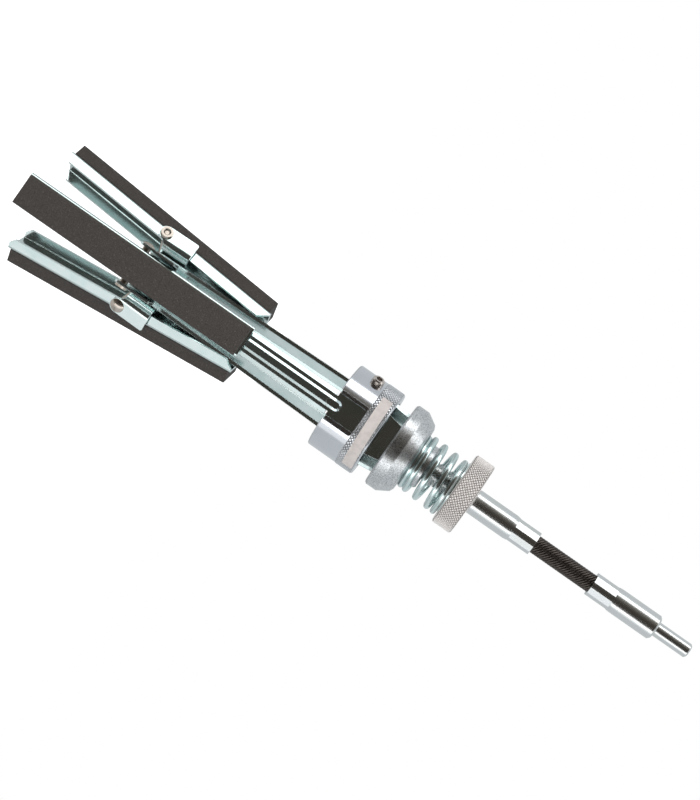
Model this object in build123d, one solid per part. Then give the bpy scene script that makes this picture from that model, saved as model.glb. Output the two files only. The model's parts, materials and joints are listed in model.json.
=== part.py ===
from build123d import *
import math
import os

# Three-arm cylinder hone with a spring-loaded cup and a flexible drive shaft.
# Millimetres. The tool axis is Z, with the drive shank at the top and the stones below.
# The origin is on the axis, where the shank leaves its ferrule.
# Each arm is modelled facing +X and is then turned to its place round the axis.

# Arms round the axis: the first faces -Y
ARM_COUNT = 3
FIRST_ARM_ANGLE = -90.0

# Drive end
SHANK_DIAMETER = 6.0
SHANK_LENGTH = 15.3
SHANK_CHAMFER = 0.6
FERRULE_DIAMETER = 10.4
FERRULE_LENGTH = 29.6
FERRULE_CHAMFER = 0.8
CRIMP_LENGTH = 9.8
CRIMP_ACROSS_FLATS = 9.7
CRIMP_ROUND_DIAMETER = 10.1
CRIMP_ANGLE = 30.0
CRIMP_TAPER = 1.4

# Flexible shaft
FLEX_DIAMETER = 7.5
FLEX_EXPOSED = 26.8
FLEX_SEAT_DEPTH = 8.0
FLEX_LINK_LENGTH = 3.0

# Spindle
SOCKET_DIAMETER = 10.5
SOCKET_LENGTH = 28.8
THREAD_DIAMETER = 9.8
SPINDLE_NOSE_DIAMETER = 8.0
SPINDLE_CHAMFER = 0.3
NOSE_RECESS = 1.5

# Adjusting nut and its washer
NUT_DIAMETER = 31.2
NUT_THICKNESS = 8.6
NUT_CHAMFER = 0.5
NUT_END_GAP = 0.3
WASHER_INSET = 1.1
WASHER_THICKNESS = 0.5

# Compression spring
SPRING_OUTER_DIAMETER = 24.8
SPRING_WIRE = 2.4
SPRING_LENGTH = 19.6
SPRING_START_ANGLE = 180.0
SPRING_CLOSED_TURNS = 0.9
SPRING_ACTIVE_TURNS = 3.2
SPRING_FLAT_TURNS = 0.5
SPRING_FLAT_RISE = 0.4

# Pressure cup
CUP_DIAMETER = 36.8
CUP_LENGTH = 10.7
CUP_FLAT = 5.3
CUP_SHOULDER_DIAMETER = 31.2
CUP_SHOULDER_ROUND = 1.6
CUP_RIM_CHAMFER = 0.7
CUP_RECESS = 1.0
CUP_NECK_CLEARANCE = 0.85
CUP_NECK_LENGTH = 6.6
CUP_WALL = 4.6
CUP_GAP = 6.1
CUP_TRAVEL = 5.6

# Arm carrier
CARRIER_DIAMETER = 37.0
CARRIER_LENGTH = 20.8
CARRIER_CHAMFER = 0.4
SLOT_WIDTH = 13.3
SLOT_LENGTH = 12.9
SLOT_CORNER = 1.2
POCKET_TOP = 12.8
REAR_BORE_CLEARANCE = 0.6
HUB_RADIUS = 6.6
HUB_GAP = 0.9
SCREW_SETBACK = 9.4
SCREW_DIAMETER = 5.0
SCREW_PROUD = 2.3
SCREW_HEX = 2.5
SCREW_HEX_DEPTH = 2.0
SCREW_CHAMFER = 0.5

# Arms, of pressed sheet
ARM_SHEET = 1.55
ARM_WIDTH = 10.4
ARM_LIP_WIDTH = 1.6
ARM_LIP_ANGLE = 32.0
ARM_WEB_RADIUS = 10.95
ARM_SLOPE = 1.23
ARM_LIP_GAP = 0.8
RIB_WIDTH = 4.4
RIB_HEIGHT = 0.6
RIB_TAPER = 57.0
RIB_REACH = 3.7
RIB_FRONT_GAP = 4.0
TAIL_WIDTH = 18.0
TAIL_TIP_WIDTH = 15.0
TAIL_REACH = 8.9
TAIL_CORNER = 1.5
TAIL_SHOULDER = 1.6
SWING = 20.0

# Arm pins
PIN_DIAMETER = 3.2
PIN_LENGTH = 23.0
PIN_SETBACK = 4.7

# Clevis on the front end of each arm
CLEVIS_WIDTH = 18.6
CLEVIS_SHEET = 1.1
CLEVIS_BEND = 3.2
CLEVIS_HEIGHT = 9.0
CLEVIS_LENGTH = 13.4
CLEVIS_WEB_START = 1.4
CLEVIS_CORNER = 0.6
ARM_END_STEP = 0.4

# Stone rivets
RIVET_REACH = 92.8
RIVET_HEIGHT = 5.75
RIVET_DIAMETER = 3.2
RIVET_HEAD_DIAMETER = 6.0
RIVET_HEAD_HEIGHT = 1.2
RIVET_SWAGE_DIAMETER = 5.6
RIVET_SWAGE_TOP = 5.0
RIVET_SWAGE_HEIGHT = 1.0
RIVET_DIMPLE_DIAMETER = 3.0
RIVET_DIMPLE_FLOOR = 1.8
RIVET_DIMPLE_DEPTH = 0.7

# Stones and their holders
STONE_LENGTH = 101.6
STONE_WIDTH = 12.3
STONE_THICKNESS = 5.7
STONE_EDGE = 0.3
STONE_FACE_HEIGHT = 9.1
STONE_TILTS = (6.3, 6.5, 5.0)
STONE_OFFSETS = (0.45, 0.0, 0.0)
HOLDER_WIDTH = 13.8
HOLDER_SHEET = 1.0
HOLDER_BEND = 1.4
HOLDER_FLANGE = 5.3
HOLDER_OVERHANG = 1.0
HOLDER_FRONT_CHAMFER = 2.2
HOLDER_REAR_CHAMFER = 3.6

# Clearances
RUNNING_FIT = 0.06
SLIDING_FIT = 0.09
SEAT_FIT = 0.02
TAIL_CLEARANCE = 0.25
BEAD_FIT = 0.05
SPRING_FIT = 0.4

# Stations along the axis, from the origin towards the stones
FERRULE_FRONT = -FERRULE_LENGTH
SOCKET_REAR = FERRULE_FRONT - FLEX_EXPOSED
SOCKET_SHOULDER = SOCKET_REAR - SOCKET_LENGTH
NUT_REAR = SOCKET_SHOULDER - NUT_END_GAP
NUT_FRONT = NUT_REAR - NUT_THICKNESS
WASHER_FRONT = NUT_FRONT - WASHER_THICKNESS
SPRING_SEAT = WASHER_FRONT - SPRING_LENGTH
CUP_SEAT = SPRING_SEAT + CUP_RECESS
CUP_RIM = CUP_SEAT - CUP_LENGTH
CARRIER_REAR = CUP_RIM - CUP_GAP
CARRIER_FRONT = CARRIER_REAR - CARRIER_LENGTH
PIN_Z = CARRIER_REAR - PIN_SETBACK
TAIL_TIP = CARRIER_REAR + TAIL_REACH
SCREW_Z = CARRIER_FRONT + SCREW_SETBACK

# Radii that several pieces share
PIN_RADIUS_FROM_AXIS = ARM_WEB_RADIUS - ARM_SHEET
SLOT_FLOOR = PIN_RADIUS_FROM_AXIS - HUB_GAP
BEAD_INNER = PIN_DIAMETER / 2 + BEAD_FIT
BEAD_OUTER = BEAD_INNER + ARM_SHEET
REAR_BORE_RADIUS = math.hypot(ARM_WEB_RADIUS, TAIL_WIDTH / 2) + REAR_BORE_CLEARANCE
REAR_BORE_FLOOR = PIN_Z + BEAD_INNER


def turned(*points):
    """A solid of revolution about Z from (radius, z) points."""
    return revolve(make_face(Plane.XZ * Polyline(*points, close=True)), Axis.Z)


def tube(outer, inner, bottom, top):
    """A plain ring between two heights."""
    return turned((inner, bottom), (outer, bottom), (outer, top), (inner, top))


def rod_y(radius, length, x, z):
    """A round bar along Y, centred on the XZ plane."""
    return Pos(x, 0, z) * (Rot(90, 0, 0) * Cylinder(radius, length))


def round_arms(shape):
    """Copies of a shape, one for each arm, turned to the arms' places."""
    step = 360.0 / ARM_COUNT
    return [Rot(0, 0, FIRST_ARM_ANGLE + step * i) * shape for i in range(ARM_COUNT)]


def channel(width, depth, sheet, bend, length):
    """A pressed channel along -Z. Its web's outer face is on X = 0 and its flanges point to -X."""
    half = width / 2
    outer = FilletPolyline((-depth, -half), (0, -half), (0, half), (-depth, half), radius=bend)
    inner = FilletPolyline(
        (-depth, half - sheet),
        (-sheet, half - sheet),
        (-sheet, sheet - half),
        (-depth, sheet - half),
        radius=max(bend - sheet, 0.1),
    )
    ends = [
        Line((-depth, half), (-depth, half - sheet)),
        Line((-depth, sheet - half), (-depth, -half)),
    ]
    return extrude(make_face([outer, inner] + ends), amount=-length)


def lipped_strip(length):
    """A pressed strip along -Z with its long edges turned down. Its outer face is on X = 0."""
    edge = ARM_WIDTH / 2
    bend = edge - ARM_LIP_WIDTH
    angle = math.radians(ARM_LIP_ANGLE)
    drop = ARM_LIP_WIDTH * math.tan(angle)
    half = [
        (0, bend),
        (-drop, edge),
        (-drop - ARM_SHEET * math.cos(angle), edge - ARM_SHEET * math.sin(angle)),
        (-ARM_SHEET, bend - ARM_SHEET * math.tan(angle / 2)),
    ]
    points = half + [(x, -y) for x, y in reversed(half)]
    return extrude(make_face(Polyline(*points, close=True)), amount=-length)


def sloped(shape):
    """Leans the front part of an arm inwards about its bend at the carrier's front face."""
    hinge = Axis((ARM_WEB_RADIUS, 0, CARRIER_FRONT), (0, 1, 0))
    return shape.rotate(hinge, ARM_SLOPE)


def rivet_place():
    """The stone rivet's place (x, z) on the sloped arm."""
    lean = math.radians(ARM_SLOPE)
    x = ARM_WEB_RADIUS + RIVET_HEIGHT * math.cos(lean) - RIVET_REACH * math.sin(lean)
    z = CARRIER_FRONT - RIVET_REACH * math.cos(lean) - RIVET_HEIGHT * math.sin(lean)
    return x, z


def crimped(bottom, top):
    """A length of ferrule pressed to six flats, with rounded corners. One corner faces the first arm."""
    hexagon = RegularPolygon(CRIMP_ACROSS_FLATS / 2, 6, major_radius=False, rotation=CRIMP_ANGLE)
    prism = extrude(Plane.XY.offset(bottom) * hexagon, amount=top - bottom)
    return prism & Pos(0, 0, (bottom + top) / 2) * Cylinder(CRIMP_ROUND_DIAMETER / 2, top - bottom)


def drive_end():
    """The shank and its ferrule, with a socket for the flexible shaft."""
    radius = FERRULE_DIAMETER / 2
    shank = SHANK_DIAMETER / 2
    crimp_top = FERRULE_FRONT + CRIMP_LENGTH
    body = turned(
        (0, crimp_top),
        (CRIMP_ROUND_DIAMETER / 2, crimp_top),
        (radius, crimp_top + CRIMP_TAPER),
        (radius, -FERRULE_CHAMFER),
        (radius - FERRULE_CHAMFER, 0),
        (shank, 0),
        (shank, SHANK_LENGTH - SHANK_CHAMFER),
        (shank - SHANK_CHAMFER, SHANK_LENGTH),
        (0, SHANK_LENGTH),
    )
    body += crimped(FERRULE_FRONT, crimp_top)
    seat = FLEX_DIAMETER / 2 + SEAT_FIT
    return body - tube(seat, 0, FERRULE_FRONT, FERRULE_FRONT + FLEX_SEAT_DEPTH)


def flex_stretches():
    """The flexible shaft in three lengths: the spindle's side, a short link, and the drive's side."""
    middle = (FERRULE_FRONT + SOCKET_REAR) / 2
    cuts = (
        SOCKET_REAR - FLEX_SEAT_DEPTH,
        middle - FLEX_LINK_LENGTH / 2,
        middle + FLEX_LINK_LENGTH / 2,
        FERRULE_FRONT + FLEX_SEAT_DEPTH,
    )
    radius = FLEX_DIAMETER / 2
    return [tube(radius, 0, low, high) for low, high in zip(cuts, cuts[1:])]


def spindle():
    """The spindle: a nose in the carrier, a relieved neck, the thread, and the crimped socket."""
    nose = SPINDLE_NOSE_DIAMETER / 2
    thread = THREAD_DIAMETER / 2
    socket = SOCKET_DIAMETER / 2
    thread_front = TAIL_TIP + CUP_TRAVEL / 2
    crimp_bottom = SOCKET_REAR - CRIMP_LENGTH
    body = turned(
        (0, CARRIER_FRONT + NOSE_RECESS),
        (nose - SPINDLE_CHAMFER, CARRIER_FRONT + NOSE_RECESS),
        (nose, CARRIER_FRONT + NOSE_RECESS + SPINDLE_CHAMFER),
        (nose, thread_front),
        (thread, thread_front + thread - nose),
        (thread, SOCKET_SHOULDER),
        (socket - SPINDLE_CHAMFER, SOCKET_SHOULDER),
        (socket, SOCKET_SHOULDER + SPINDLE_CHAMFER),
        (socket, crimp_bottom - CRIMP_TAPER),
        (CRIMP_ROUND_DIAMETER / 2, crimp_bottom),
        (0, crimp_bottom),
    )
    body += crimped(crimp_bottom, SOCKET_REAR)
    seat = FLEX_DIAMETER / 2 + SEAT_FIT
    return body - tube(seat, 0, SOCKET_REAR - FLEX_SEAT_DEPTH, SOCKET_REAR)


def adjusting_nut():
    """The round nut. Its diamond knurl is a surface finish."""
    outer = NUT_DIAMETER / 2
    bore = THREAD_DIAMETER / 2 + RUNNING_FIT
    return turned(
        (bore + NUT_CHAMFER, NUT_FRONT),
        (outer - NUT_CHAMFER, NUT_FRONT),
        (outer, NUT_FRONT + NUT_CHAMFER),
        (outer, NUT_REAR - NUT_CHAMFER),
        (outer - NUT_CHAMFER, NUT_REAR),
        (bore + NUT_CHAMFER, NUT_REAR),
        (bore, NUT_REAR - NUT_CHAMFER),
        (bore, NUT_FRONT + NUT_CHAMFER),
    )


def thrust_washer():
    """The thin washer between the nut and the spring. Its rim lies under the spring's last coil."""
    bore = THREAD_DIAMETER / 2 + RUNNING_FIT
    return tube(SPRING_OUTER_DIAMETER / 2 - WASHER_INSET, bore, WASHER_FRONT, NUT_FRONT)


def compression_spring():
    """A round-wire spring, closed at the cup and pressed flat on the washer."""
    radius = (SPRING_OUTER_DIAMETER - SPRING_WIRE) / 2
    closed_height = SPRING_WIRE * SPRING_CLOSED_TURNS
    active_height = SPRING_LENGTH - SPRING_WIRE - closed_height - SPRING_FLAT_RISE
    start = SPRING_SEAT + SPRING_WIRE / 2
    turns = 0.0
    runs = []
    for height, run_turns in (
        (closed_height, SPRING_CLOSED_TURNS),
        (active_height, SPRING_ACTIVE_TURNS),
        (SPRING_FLAT_RISE, SPRING_FLAT_TURNS),
    ):
        turn = Rot(0, 0, SPRING_START_ANGLE + 360 * turns)
        run = Pos(0, 0, start) * (turn * Helix(height / run_turns, height, radius))
        runs.append(run.edge())
        start += height
        turns += run_turns
    section = Plane(origin=runs[0] @ 0, z_dir=runs[0] % 0) * Circle(SPRING_WIRE / 2)
    return sweep(section, path=Wire(runs), is_frenet=True, transition=Transition.TRANSFORMED)


def tail_tip_corner(swing):
    """The tail tip's corner at a swing in degrees: its radius from the axis and its height."""
    angle = math.radians(swing)
    reach = TAIL_TIP - PIN_Z
    x = PIN_RADIUS_FROM_AXIS + ARM_SHEET * math.cos(angle) - reach * math.sin(angle)
    z = PIN_Z + reach * math.cos(angle) + ARM_SHEET * math.sin(angle)
    return math.hypot(x, TAIL_TIP_WIDTH / 2), z


def pressure_cup():
    """The sliding cup. The spring sits in its rear recess. Its inner cone follows the tails' tips."""
    outer = CUP_DIAMETER / 2
    shoulder = CUP_SHOULDER_DIAMETER / 2
    neck = SPRING_OUTER_DIAMETER / 2 - SPRING_WIRE - CUP_NECK_CLEARANCE
    recess = SPRING_OUTER_DIAMETER / 2 + SPRING_FIT
    bore = THREAD_DIAMETER / 2 + SLIDING_FIT
    neck_end = CUP_SEAT + CUP_NECK_LENGTH
    start_radius, start_z = tail_tip_corner(0)
    end_radius, end_z = tail_tip_corner(SWING)
    end_z += CUP_TRAVEL
    return turned(
        (outer - CUP_WALL, CUP_RIM),
        (outer - CUP_RIM_CHAMFER, CUP_RIM),
        (outer, CUP_RIM + CUP_RIM_CHAMFER),
        (outer, CUP_RIM + CUP_FLAT),
        (shoulder, CUP_SEAT - CUP_SHOULDER_ROUND / 2),
        (shoulder - CUP_SHOULDER_ROUND, CUP_SEAT),
        (recess, CUP_SEAT),
        (recess, SPRING_SEAT),
        (neck, SPRING_SEAT),
        (neck, neck_end - CUP_RIM_CHAMFER),
        (neck - CUP_RIM_CHAMFER, neck_end),
        (bore, neck_end),
        (bore, end_z + TAIL_CLEARANCE),
        (end_radius + TAIL_CLEARANCE, end_z + TAIL_CLEARANCE),
        (start_radius + TAIL_CLEARANCE, start_z + TAIL_CLEARANCE),
        (outer - CUP_WALL, start_z + TAIL_CLEARANCE),
    )


def slot_cut():
    """What an arm's slot, pocket and pin remove from the carrier, for the arm on +X."""
    outer = CARRIER_DIAMETER
    slot_end = CARRIER_FRONT + SLOT_LENGTH
    window = Pos((SLOT_FLOOR + outer) / 2, 0, (CARRIER_FRONT + slot_end) / 2) * Box(
        outer - SLOT_FLOOR, SLOT_WIDTH, SLOT_LENGTH
    )
    window = fillet(window.edges().filter_by(Axis.X).group_by(Axis.Z)[-1], SLOT_CORNER)
    pocket_length = REAR_BORE_FLOOR - slot_end + SLOT_CORNER
    pocket = Pos((SLOT_FLOOR + POCKET_TOP) / 2, 0, REAR_BORE_FLOOR - pocket_length / 2) * Box(
        POCKET_TOP - SLOT_FLOOR, SLOT_WIDTH, pocket_length
    )
    pin = rod_y(PIN_DIAMETER / 2 + SEAT_FIT, PIN_LENGTH + 2 * SEAT_FIT, PIN_RADIUS_FROM_AXIS, PIN_Z)
    return window + pocket + pin


def screw_axis():
    """The set screw's plane: on the lobe between the first and the last arm, facing outwards."""
    angle = math.radians(FIRST_ARM_ANGLE - 180.0 / ARM_COUNT)
    out = (math.cos(angle), math.sin(angle), 0)
    return Plane(origin=(0, 0, SCREW_Z), x_dir=(0, 0, 1), z_dir=out)


def arm_carrier():
    """The slotted carrier with its hub for the spindle."""
    outer = CARRIER_DIAMETER / 2
    bore = SPINDLE_NOSE_DIAMETER / 2 + SEAT_FIT
    body = turned(
        (bore, CARRIER_FRONT),
        (outer - CARRIER_CHAMFER, CARRIER_FRONT),
        (outer, CARRIER_FRONT + CARRIER_CHAMFER),
        (outer, CARRIER_REAR - CARRIER_CHAMFER),
        (outer - CARRIER_CHAMFER, CARRIER_REAR),
        (REAR_BORE_RADIUS, CARRIER_REAR),
        (REAR_BORE_RADIUS, REAR_BORE_FLOOR),
        (HUB_RADIUS, REAR_BORE_FLOOR),
        (HUB_RADIUS, CARRIER_REAR),
        (bore, CARRIER_REAR),
    )
    for cut in round_arms(slot_cut()):
        body -= cut
    hole = extrude(screw_axis() * Circle(SCREW_DIAMETER / 2 + SEAT_FIT), amount=outer + SCREW_PROUD)
    return body - hole


def set_screw():
    """The socket set screw that holds the spindle's nose in the hub."""
    top = CARRIER_DIAMETER / 2 + SCREW_PROUD
    seat = SPINDLE_NOSE_DIAMETER / 2 + SEAT_FIT
    plane = screw_axis()
    screw = extrude(plane.offset(seat) * Circle(SCREW_DIAMETER / 2), amount=top - seat)
    screw = chamfer(screw.edges().sort_by(lambda e: e.center().dot(plane.z_dir))[-1], SCREW_CHAMFER)
    socket = plane.offset(top - SCREW_HEX_DEPTH) * RegularPolygon(SCREW_HEX / 2, 6, major_radius=False)
    return screw - extrude(socket, amount=SCREW_HEX_DEPTH)


def arm_pin():
    """The pin that an arm swings on. It is pressed into the carrier beside the arm's pocket."""
    return rod_y(PIN_DIAMETER / 2, PIN_LENGTH, PIN_RADIUS_FROM_AXIS, PIN_Z)


def tail_plate():
    """The flat rear end of an arm: narrow in the slot, wide behind its pin, tapered at the tip."""
    narrow = ARM_WIDTH / 2
    wide = TAIL_WIDTH / 2
    tip = TAIL_TIP_WIDTH / 2
    shoulder = REAR_BORE_FLOOR + TAIL_CLEARANCE
    side = [
        (CARRIER_FRONT, narrow),
        (shoulder, narrow),
        (shoulder, wide - TAIL_SHOULDER),
        (shoulder + TAIL_SHOULDER, wide),
        (CARRIER_REAR, wide),
        (TAIL_TIP - TAIL_CORNER, tip),
        (TAIL_TIP, tip - TAIL_CORNER),
    ]
    points = [(y, z) for z, y in side] + [(-y, z) for z, y in reversed(side)]
    outline = make_face(Plane.YZ * Polyline(*points, close=True))
    return extrude(Pos(PIN_RADIUS_FROM_AXIS, 0, 0) * outline, amount=ARM_SHEET)


def arm_rib(width, front, rear, base):
    """The pressed rib's form on the web, as a long raised slot with rounded ends."""
    length = rear - front
    plane = Plane(origin=(base, 0, (front + rear) / 2), x_dir=(0, 0, 1), z_dir=(1, 0, 0))
    return extrude(plane * SlotOverall(length, width), amount=RIB_HEIGHT, taper=RIB_TAPER)


def arm():
    """One arm: a ribbed strip in front, a flat tail behind, and a rolled bead over its pin."""
    lip_rear = CARRIER_FRONT - ARM_LIP_GAP
    front = CARRIER_FRONT - RIVET_REACH + CLEVIS_WEB_START + ARM_END_STEP
    body = Pos(ARM_WEB_RADIUS, 0, lip_rear) * lipped_strip(lip_rear - front)
    link = Pos(ARM_WEB_RADIUS - ARM_SHEET / 2, 0, CARRIER_FRONT - ARM_LIP_GAP / 2) * Box(
        ARM_SHEET, ARM_WIDTH - 2 * ARM_LIP_WIDTH, ARM_LIP_GAP
    )
    rib_front = CARRIER_FRONT - RIVET_REACH + CLEVIS_LENGTH + RIB_FRONT_GAP
    body += link + arm_rib(RIB_WIDTH, rib_front, CARRIER_FRONT, ARM_WEB_RADIUS)
    body = sloped(body)
    bead = rod_y(BEAD_OUTER, ARM_WIDTH, PIN_RADIUS_FROM_AXIS, PIN_Z)
    bead &= Pos(PIN_RADIUS_FROM_AXIS + BEAD_OUTER / 2, 0, PIN_Z) * Box(
        BEAD_OUTER, ARM_WIDTH, 2 * BEAD_OUTER
    )
    rear = tail_plate() + bead
    rear += arm_rib(RIB_WIDTH, CARRIER_FRONT - RIB_REACH, CARRIER_FRONT + RIB_REACH, ARM_WEB_RADIUS)
    rear -= rod_y(BEAD_INNER, TAIL_WIDTH, PIN_RADIUS_FROM_AXIS, PIN_Z)
    return body + rear


def clevis():
    """The saddle on the arm's front end, whose ears carry the stone's rivet."""
    rear = CARRIER_FRONT - RIVET_REACH + CLEVIS_LENGTH
    rivet_z = CARRIER_FRONT - RIVET_REACH
    round_front = CLEVIS_HEIGHT - RIVET_HEIGHT
    stock = channel(CLEVIS_WIDTH, CLEVIS_HEIGHT, CLEVIS_SHEET, CLEVIS_BEND, CLEVIS_LENGTH + round_front)
    stock = Pos(ARM_WEB_RADIUS, 0, rear) * mirror(stock, Plane.YZ)
    x0 = ARM_WEB_RADIUS
    top = x0 + CLEVIS_HEIGHT
    side = make_face(
        Plane.XZ
        * Polyline(
            (x0, rivet_z + CLEVIS_WEB_START),
            (x0, rear),
            (top - CLEVIS_CORNER, rear),
            (top, rear - CLEVIS_CORNER),
            (top, rivet_z),
            (x0 + RIVET_HEIGHT, rivet_z),
            (x0 + RIVET_HEIGHT, rivet_z - round_front),
            (x0 + CLEVIS_SHEET, rivet_z + CLEVIS_WEB_START),
            close=True,
        )
    )
    ears = extrude(side, amount=CLEVIS_WIDTH / 2, both=True)
    ears += rod_y(round_front, CLEVIS_WIDTH, x0 + RIVET_HEIGHT, rivet_z)
    hole = rod_y(RIVET_DIAMETER / 2 + SEAT_FIT, 2 * CLEVIS_WIDTH, x0 + RIVET_HEIGHT, rivet_z)
    return sloped((stock & ears) - hole)


def stone_rivet():
    """The rivet through the clevis and the holder: domed at one end, swaged at the other."""
    x, z = rivet_place()
    shank = RIVET_DIAMETER / 2
    half = CLEVIS_WIDTH / 2
    crown = (0, -half - RIVET_HEAD_HEIGHT)
    brim = (RIVET_HEAD_DIAMETER / 2, -half)
    swage = half + RIVET_SWAGE_HEIGHT
    dimple = swage - RIVET_DIMPLE_DEPTH
    dome = TangentArc(crown, brim, tangent=(1, 0))
    side = Polyline(
        brim,
        (shank, -half),
        (shank, half),
        (RIVET_SWAGE_DIAMETER / 2, half),
        (RIVET_SWAGE_TOP / 2, swage),
        (RIVET_DIMPLE_DIAMETER / 2, swage),
        (RIVET_DIMPLE_FLOOR / 2, dimple),
        (0, dimple),
        crown,
    )
    rivet = revolve(make_face([Plane.XZ * dome, Plane.XZ * side]), Axis.Z)
    return Pos(x, 0, z) * (Rot(-90, 0, 0) * rivet)


def tilted(shape, tilt):
    """Places a piece modelled about the rivet on the arm, with its front end leaning outwards."""
    x, z = rivet_place()
    return Pos(x, 0, z) * (Rot(0, -tilt, 0) * shape)


def stone_holder():
    """The channel under a stone, modelled about its rivet. Its flanges straddle the arm."""
    length = STONE_LENGTH + 2 * HOLDER_OVERHANG
    web_top = STONE_FACE_HEIGHT - STONE_THICKNESS
    stock = Pos(web_top, 0, length / 2) * channel(
        HOLDER_WIDTH, HOLDER_FLANGE, HOLDER_SHEET, HOLDER_BEND, length
    )
    edge = web_top - HOLDER_FLANGE
    side = make_face(
        Plane.XZ
        * Polyline(
            (web_top, -length / 2),
            (web_top, length / 2),
            (edge + HOLDER_REAR_CHAMFER, length / 2),
            (edge, length / 2 - HOLDER_REAR_CHAMFER),
            (edge, HOLDER_FRONT_CHAMFER - length / 2),
            (edge + HOLDER_FRONT_CHAMFER, -length / 2),
            close=True,
        )
    )
    side = extrude(side, amount=HOLDER_WIDTH / 2, both=True)
    return (stock & side) - rod_y(RIVET_DIAMETER / 2 + SLIDING_FIT, 2 * HOLDER_WIDTH, 0, 0)


def stone(offset):
    """The abrasive stick, glued to the holder's web at an offset from its middle."""
    middle = STONE_FACE_HEIGHT - STONE_THICKNESS / 2
    block = Pos(middle, offset, 0) * Box(STONE_THICKNESS, STONE_WIDTH, STONE_LENGTH)
    return chamfer(block.edges().filter_by(Axis.Z), STONE_EDGE)


def pieces():
    """Every piece of the hone by name."""
    named = {
        "drive_end": drive_end(),
        "spindle": spindle(),
        "adjusting_nut": adjusting_nut(),
        "thrust_washer": thrust_washer(),
        "compression_spring": compression_spring(),
        "pressure_cup": pressure_cup(),
        "arm_carrier": arm_carrier(),
        "set_screw": set_screw(),
    }
    flex_names = ("flex_shaft_front", "flex_shaft_link", "flex_shaft_rear")
    named.update(zip(flex_names, flex_stretches()))
    for name, shape in (
        ("arm_pin", arm_pin()),
        ("arm", arm()),
        ("clevis", clevis()),
        ("stone_rivet", stone_rivet()),
    ):
        for i, copy in enumerate(round_arms(shape)):
            named[f"{name}_{i + 1}"] = copy
    holder = stone_holder()
    for i, (tilt, offset) in enumerate(zip(STONE_TILTS, STONE_OFFSETS)):
        named[f"stone_holder_{i + 1}"] = round_arms(tilted(holder, tilt))[i]
        named[f"stone_{i + 1}"] = round_arms(tilted(stone(offset), tilt))[i]
    return named


def joint_places():
    """Prints the places of the joints, for whoever writes the joints down."""
    x, z = rivet_place()
    print(f"arm pin: radius {PIN_RADIUS_FROM_AXIS:.4f}, z {PIN_Z:.4f}")
    print(f"stone rivet: radius {x:.4f}, z {z:.4f}")
    print(f"flexible link: z {(FERRULE_FRONT + SOCKET_REAR) / 2:.4f}")
    print(f"nut: z {NUT_FRONT:.4f} to {NUT_REAR:.4f}")


os.makedirs("parts", exist_ok=True)
for node, solid in pieces().items():
    export_step(solid, f"parts/{node}.step")
joint_places()
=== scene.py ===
import json
import math

import bmesh
import bpy
from mathutils import Matrix, Vector


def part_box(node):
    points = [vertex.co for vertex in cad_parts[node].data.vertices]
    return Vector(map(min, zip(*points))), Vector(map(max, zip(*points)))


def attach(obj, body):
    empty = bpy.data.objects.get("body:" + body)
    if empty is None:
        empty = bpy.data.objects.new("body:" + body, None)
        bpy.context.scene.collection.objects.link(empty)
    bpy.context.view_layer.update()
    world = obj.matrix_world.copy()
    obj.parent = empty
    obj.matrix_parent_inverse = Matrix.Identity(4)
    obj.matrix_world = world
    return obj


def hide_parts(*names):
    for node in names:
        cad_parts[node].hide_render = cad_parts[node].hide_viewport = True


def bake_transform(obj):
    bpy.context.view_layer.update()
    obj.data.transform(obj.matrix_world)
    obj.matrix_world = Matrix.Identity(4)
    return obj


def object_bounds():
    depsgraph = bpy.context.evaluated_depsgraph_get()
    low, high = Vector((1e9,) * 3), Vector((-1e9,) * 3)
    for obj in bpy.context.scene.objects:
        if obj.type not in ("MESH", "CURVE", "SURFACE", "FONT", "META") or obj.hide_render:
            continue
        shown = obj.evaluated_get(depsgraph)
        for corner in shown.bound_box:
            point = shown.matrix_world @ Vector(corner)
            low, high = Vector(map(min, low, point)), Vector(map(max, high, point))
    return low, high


bl_info = {
    "name": "Cylinder Hone",
    "version": (1, 0, 0),
    "blender": (4, 5, 0),
    "location": "3D View > Sidebar > Hone",
    "description": "Dresses a three-arm cylinder hone and sets up its studio",
    "category": "Object",
}

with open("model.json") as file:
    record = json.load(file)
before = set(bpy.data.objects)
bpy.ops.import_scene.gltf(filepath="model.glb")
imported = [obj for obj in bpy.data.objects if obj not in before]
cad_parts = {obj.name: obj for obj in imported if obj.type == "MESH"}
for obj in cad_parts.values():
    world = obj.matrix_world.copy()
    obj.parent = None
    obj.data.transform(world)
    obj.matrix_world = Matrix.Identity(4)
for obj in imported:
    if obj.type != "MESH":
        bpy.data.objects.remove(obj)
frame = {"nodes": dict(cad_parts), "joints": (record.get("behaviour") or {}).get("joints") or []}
CAD_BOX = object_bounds()
ARMS = (1, 2, 3)
MM = 0.001
TURN = 2 * math.pi


# What the pieces share with the frame

def radius_of(node):
    """The outer radius of a node that is turned about the tool's axis."""
    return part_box(node)[1].x


def low_of(node):
    """The height of a node's end towards the stones."""
    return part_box(node)[0].z


def high_of(node):
    """The height of a node's end towards the drive shank."""
    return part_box(node)[1].z


def joint_height(name):
    """The height of a joint's pivot on the tool's axis."""
    return next(j["pos_m"][2] for j in frame["joints"] if j["name"] == name)


# Sizes of the solids that their boxes don't give
THREAD_RADIUS = 4.9 * MM
SPRING_WIRE = 2.4 * MM
SOCKET_DEPTH = 8.0 * MM  # how deep the flexible shaft sits in each ferrule
NUT_END_GAP = 0.3 * MM  # from the nut to the spindle's socket

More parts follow.
